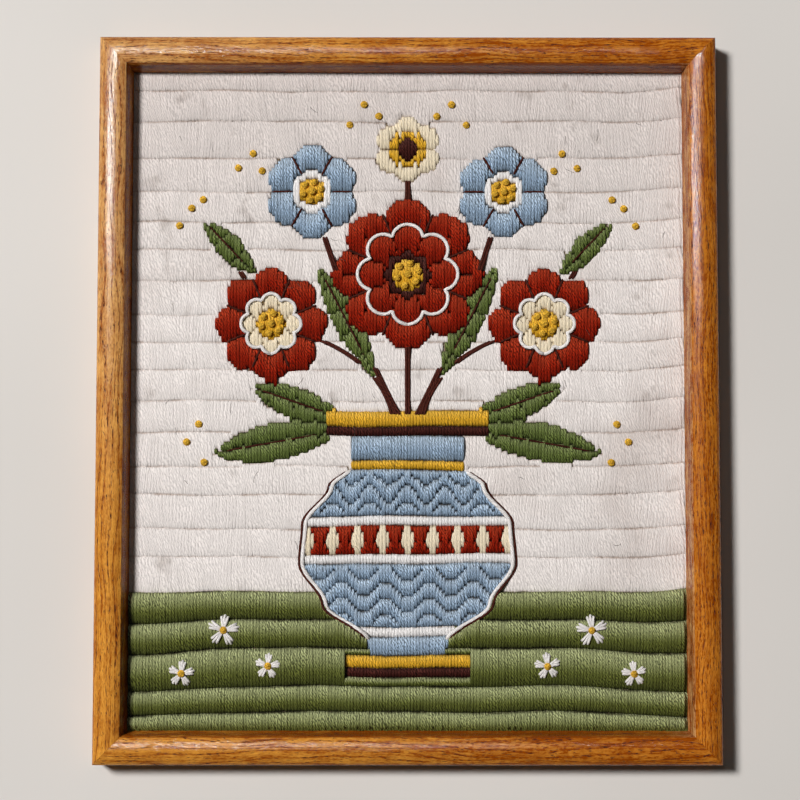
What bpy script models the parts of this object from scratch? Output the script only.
"""Framed wool embroidery: a long-stitch panel in a mitred oak frame, lying on its back.

Frame of the whole part: +X is the picture's right, +Y its top, +Z out of its face.
The origin is on the back plane, under the middle of the picture. Millimetres are used
here and turned into metres when a mesh is made.
"""

import math

import bmesh
import bpy

MM = 0.001

# Frame: 3/4 inch wide oak cap moulding, mitred at the corners
OUT_W = 420.0          # over the outer sides
OUT_H = 492.0
RAIL_T = 28.0          # back to crest
FACE_W = 18.6          # the rounded face, outer side to inner arris
LIP_U = 21.8           # outer side to the lip, so the sight size is 376 x 448
LIP_Z = 9.4            # underside of the lip
REBATE_U = 15.6        # outer side to the wall of the rebate
ROUND_R = 15.0         # radius of the rounded face
CREST_U = 10.5         # outer side to the crest of the round
EDGE_R = 1.0           # eased outer arris
MITRE_GAP = 0.32       # between two rails at a mitre

# What lies in the rebate
PLAY = 0.6             # all round, between the rebate's wall and the panel
PANEL_BACK = 7.1       # underside of the canvas
PANEL_RIM = 9.0        # wool squeezed under the lip
PANEL_MID = 9.6        # tops of the rows, over the bare weave
BOARD_T = 4.0
BOARD_GAP = 0.4

# Stitching: 12 threads to the inch, each row a long stitch over so many threads
PITCH = 25.4 / 12.0
SKY_ROWS = (6, 10, 12, 11, 10, 9, 10, 11, 9, 9, 10, 10, 11, 9, 11, 9, 11)
GRASS_ROWS = (9, 9, 12, 8, 6)
SKY_PUFF = 0.8         # how far a sky row rises over its grooves
GRASS_PUFF = 1.5
MOTIF_RISE = 0.8       # flowers, leaves and urn over the ground rows

SIGHT_W = OUT_W - 2 * LIP_U
SIGHT_H = OUT_H - 2 * LIP_U
GROUND_Y = 0.5 * SIGHT_H - sum(SKY_ROWS) * PITCH   # where the grass begins
PANEL_W = OUT_W - 2 * (REBATE_U + PLAY)
PANEL_H = OUT_H - 2 * (REBATE_U + PLAY)

# Flower heads: middle x, middle y, radius, petals
BLOOMS = (
    (0.0, 84.0, 50.0, 8),
    (-94.0, 50.0, 36.0, 8),
    (94.0, 50.0, 36.0, 8),
    (-66.0, 142.0, 31.0, 6),
    (66.0, 142.0, 31.0, 6),
    (0.0, 171.0, 22.0, 6),
)

# Leaves: foot x, foot y, tip x, tip y, half width
LEAVES = (
    (-30.0, -6.0, -92.0, 4.0, 12.0),
    (30.0, -6.0, 92.0, 4.0, 12.0),
    (-36.0, -22.0, -128.0, -34.0, 13.0),
    (36.0, -22.0, 128.0, -34.0, 13.0),
    (-22.0, 14.0, -62.0, 92.0, 9.0),
    (22.0, 14.0, 62.0, 92.0, 9.0),
    (-104.0, 84.0, -140.0, 122.0, 9.0),
    (104.0, 84.0, 140.0, 122.0, 9.0),
)

# Urn: height from the sight's middle, half width
URN = (
    (-192.0, 40.0),
    (-182.0, 40.0),
    (-174.0, 24.0),
    (-164.0, 26.0),
    (-140.0, 56.0),
    (-112.0, 72.0),
    (-86.0, 70.0),
    (-60.0, 52.0),
    (-42.0, 38.0),
    (-30.0, 38.0),
    (-18.0, 54.0),
    (-8.0, 56.0),
)


def solid(name, verts, faces):
    """One closed body from points in millimetres, with its faces turned outward."""
    mesh = bpy.data.meshes.new(name)
    mesh.from_pydata([(x * MM, y * MM, z * MM) for x, y, z in verts], [], faces)
    bm = bmesh.new()
    bm.from_mesh(mesh)
    bmesh.ops.recalc_face_normals(bm, faces=bm.faces)
    bm.to_mesh(mesh)
    bm.free()
    mesh.update()
    obj = bpy.data.objects.new(name, mesh)
    bpy.context.scene.collection.objects.link(obj)
    return obj


def rail_profile():
    """Section of the moulding: (distance in from the outer side, height over the back)."""
    def crown(u):
        return RAIL_T - (ROUND_R - math.sqrt(ROUND_R ** 2 - (u - CREST_U) ** 2))

    pts = [(0.0, 0.0), (0.0, crown(0.0) - EDGE_R), (0.32 * EDGE_R, crown(0.0) - 0.2 * EDGE_R)]
    steps = 14
    for i in range(1, steps + 1):
        u = EDGE_R + (FACE_W - EDGE_R) * i / steps
        pts.append((u, crown(u)))
    top = crown(FACE_W)
    # a fine quirk under the arris, then the sloping inner wall down to the lip
    pts.append((FACE_W + 0.35, top - 0.9))
    pts.append((FACE_W + 1.1, top - 2.4))
    pts.append((LIP_U - 0.3, LIP_Z + 0.5))
    pts.append((LIP_U, LIP_Z))
    pts.append((REBATE_U, LIP_Z))
    pts.append((REBATE_U, 0.0))
    return pts


def rail(name, length, other, turn):
    """One mitred rail of the given outer length, lying along X below the middle and
    then turned about Z to its side. `other` is the frame's size across the rail."""
    profile = rail_profile()
    back_off = 0.5 * MITRE_GAP * math.sqrt(2.0)
    stations = 8
    verts = []
    for i in range(stations + 1):
        t = -1.0 + 2.0 * i / stations
        for u, z in profile:
            half = 0.5 * length - u - back_off
            verts.append((t * half, -0.5 * other + u, z))
    n = len(profile)
    faces = []
    for i in range(stations):
        for j in range(n):
            k = (j + 1) % n
            faces.append((i * n + j, i * n + k, (i + 1) * n + k, (i + 1) * n + j))
    faces.append(tuple(range(n)))
    faces.append(tuple(stations * n + j for j in range(n)))
    c = round(math.cos(math.radians(turn)))
    s = round(math.sin(math.radians(turn)))
    verts = [(c * x - s * y, s * x + c * y, z) for x, y, z in verts]
    return solid(name, verts, faces)


def row_edges():
    """Grooves between the rows, from the top of the sight down, with each row's puff."""
    y = 0.5 * SIGHT_H
    rows = []
    for threads in SKY_ROWS:
        rows.append((y, y - threads * PITCH, SKY_PUFF))
        y -= threads * PITCH
    for k, threads in enumerate(GRASS_ROWS):
        bottom = y - threads * PITCH
        if k == len(GRASS_ROWS) - 1:
            bottom = -0.5 * SIGHT_H
        rows.append((y, bottom, GRASS_PUFF))
        y = bottom
    return rows


def groove_wave(x, y):
    """How far a groove strays from its line: sky rows wander a little, and the grass
    rows sag at both sides, except where the last one lies along the rail."""
    sway = 0.45 * math.sin(x / 31.0 + y / 17.0) + 0.35 * math.sin(x / 13.0 - y / 29.0)
    deep = max(0.0, min(1.0, (GROUND_Y - y) / 34.0))
    free = max(0.0, min(1.0, (0.5 * SIGHT_H + y) / 14.0))
    side = max(0.0, min(1.0, (abs(x) - 112.0) / 76.0))
    roll = 0.9 * math.sin(x / 27.0 + y / 23.0) - 3.4 * side * side * (3.0 - 2.0 * side)
    return sway * free + roll * deep * free


def urn_half(y):
    """Half the urn's width at height y, or 0 above and below it."""
    for (y0, w0), (y1, w1) in zip(URN, URN[1:]):
        if y0 <= y <= y1:
            t = (y - y0) / (y1 - y0)
            t = t * t * (3.0 - 2.0 * t)
            return w0 + (w1 - w0) * t
    return 0.0


def soft(distance, width=6.0):
    """1 well inside a shape, 0 outside it, with an eased edge of the given width."""
    t = max(0.0, min(1.0, distance / width + 0.5))
    return t * t * (3.0 - 2.0 * t)


def motif(x, y):
    """How much of the motif's rise shows at a point of the picture, from 0 to 1."""
    best = 0.0
    for cx, cy, radius, petals in BLOOMS:
        r = math.hypot(x - cx, y - cy)
        a = math.atan2(y - cy, x - cx)
        rim = radius * (0.93 + 0.07 * math.cos(petals * a))
        dome = 0.75 + 0.25 * math.cos(math.pi * min(1.0, r / radius))
        best = max(best, soft(rim - r) * dome)
    for fx, fy, tx, ty, half in LEAVES:
        length = math.hypot(tx - fx, ty - fy)
        ux, uy = (tx - fx) / length, (ty - fy) / length
        along = (x - fx) * ux + (y - fy) * uy
        across = abs((y - fy) * ux - (x - fx) * uy)
        if 0.0 < along < length:
            best = max(best, 0.8 * soft(half * math.sin(math.pi * along / length) - across))
    half = urn_half(y)
    if half > 0.0:
        best = max(best, soft(half - abs(x)))
    return best


def panel():
    """The stitched canvas: one sheet whose face has the rows and the raised motif."""
    half_w, half_h = 0.5 * PANEL_W, 0.5 * PANEL_H
    in_w, in_h = 0.5 * SIGHT_W - 0.8, 0.5 * SIGHT_H - 0.8
    inner = 52
    xs = [-half_w, -in_w, -in_w + 2.6]
    for i in range(1, inner):
        xs.append(-in_w + 2.6 + (2 * in_w - 5.2) * i / inner)
    xs += [in_w - 2.6, in_w, half_w]

    # Lines across the picture: each groove and three lines on the row below it
    lines = [(half_h, 0.0, False)]
    for k, (top, bottom, puff) in enumerate(row_edges()):
        start = 0.8 if k == 0 else 0.0
        depth = top - start - bottom
        lines.append((top - start, 0.0, k > 0))
        lines.append((top - start - 0.16 * depth, 0.72 * puff, True))
        lines.append((top - start - 0.5 * depth, puff, True))
        lines.append((top - start - 0.84 * depth, 0.72 * puff, True))
    lines.append((-in_h, 0.0, False))
    lines.append((-half_h, 0.0, False))

    verts = []
    for y, puff, free in lines:
        for x in xs:
            yy, z = y, PANEL_RIM
            if free and abs(x) < in_w - 0.1:
                yy = y + groove_wave(x, y)
                fade = min(1.0, (in_w - abs(x)) / 2.6)
                z += fade * (PANEL_MID - PANEL_RIM - 0.8 + puff + MOTIF_RISE * motif(x, yy))
            verts.append((x, yy, z))
    nx, ny = len(xs), len(lines)
    faces = []
    for j in range(ny - 1):
        for i in range(nx - 1):
            a = j * nx + i
            faces.append((a, a + 1, a + nx + 1, a + nx))

    # The rim goes straight down to a flat back, which is one face
    rim = [i for i in range(nx)]
    rim += [j * nx + nx - 1 for j in range(1, ny)]
    rim += [(ny - 1) * nx + i for i in range(nx - 2, -1, -1)]
    rim += [j * nx for j in range(ny - 2, 0, -1)]
    low = len(verts)
    for index in rim:
        x, y, _ = verts[index]
        verts.append((x, y, PANEL_BACK))
    count = len(rim)
    for i in range(count):
        k = (i + 1) % count
        faces.append((rim[i], rim[k], low + k, low + i))
    faces.append(tuple(low + i for i in range(count)))
    return solid("stitched_canvas", verts, faces)


def board():
    """The stiff board that the canvas is stretched over, let into the rebate."""
    x, y = 0.5 * PANEL_W, 0.5 * PANEL_H
    top = PANEL_BACK - BOARD_GAP
    low = top - BOARD_T
    verts = [(-x, -y, low), (x, -y, low), (x, y, low), (-x, y, low),
             (-x, -y, top), (x, -y, top), (x, y, top), (-x, y, top)]
    faces = [(0, 1, 2, 3), (4, 5, 6, 7), (0, 1, 5, 4), (1, 2, 6, 5), (2, 3, 7, 6), (3, 0, 4, 7)]
    return solid("stretching_board", verts, faces)


for old in list(bpy.data.objects):
    bpy.data.objects.remove(old, do_unlink=True)

rail("rail_bottom", OUT_W, OUT_H, 0.0)
rail("rail_right", OUT_H, OUT_W, 90.0)
rail("rail_top", OUT_W, OUT_H, 180.0)
rail("rail_left", OUT_H, OUT_W, 270.0)
panel()
board()
